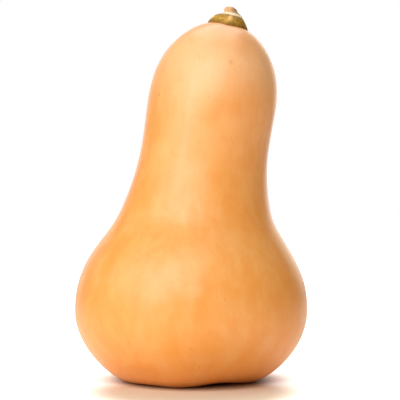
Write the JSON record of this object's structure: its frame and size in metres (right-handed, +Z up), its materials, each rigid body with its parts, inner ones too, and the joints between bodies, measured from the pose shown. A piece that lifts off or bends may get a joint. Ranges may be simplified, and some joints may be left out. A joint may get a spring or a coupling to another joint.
{
  "type": "butternut squash",
  "caption": "Whole butternut squash with a round ribbed bulb, a leaning cylindrical neck and a short flared woody stem; it stands upright on its blossom end.",
  "frame": {"origin": "centre of the bounding box in plan, on the surface the squash stands on", "axes": "+Z up from the blossom end to the stem; +X is the side the neck leans to and -Y is the front"},
  "size_m": [0.1294, 0.1288, 0.2097],
  "materials": {
    "rind": "satin",
    "stem": "matte"
  },
  "bodies": {
    "root": {"fruit": "rind", "stem": "stem"}
  },
  "joints": []
}
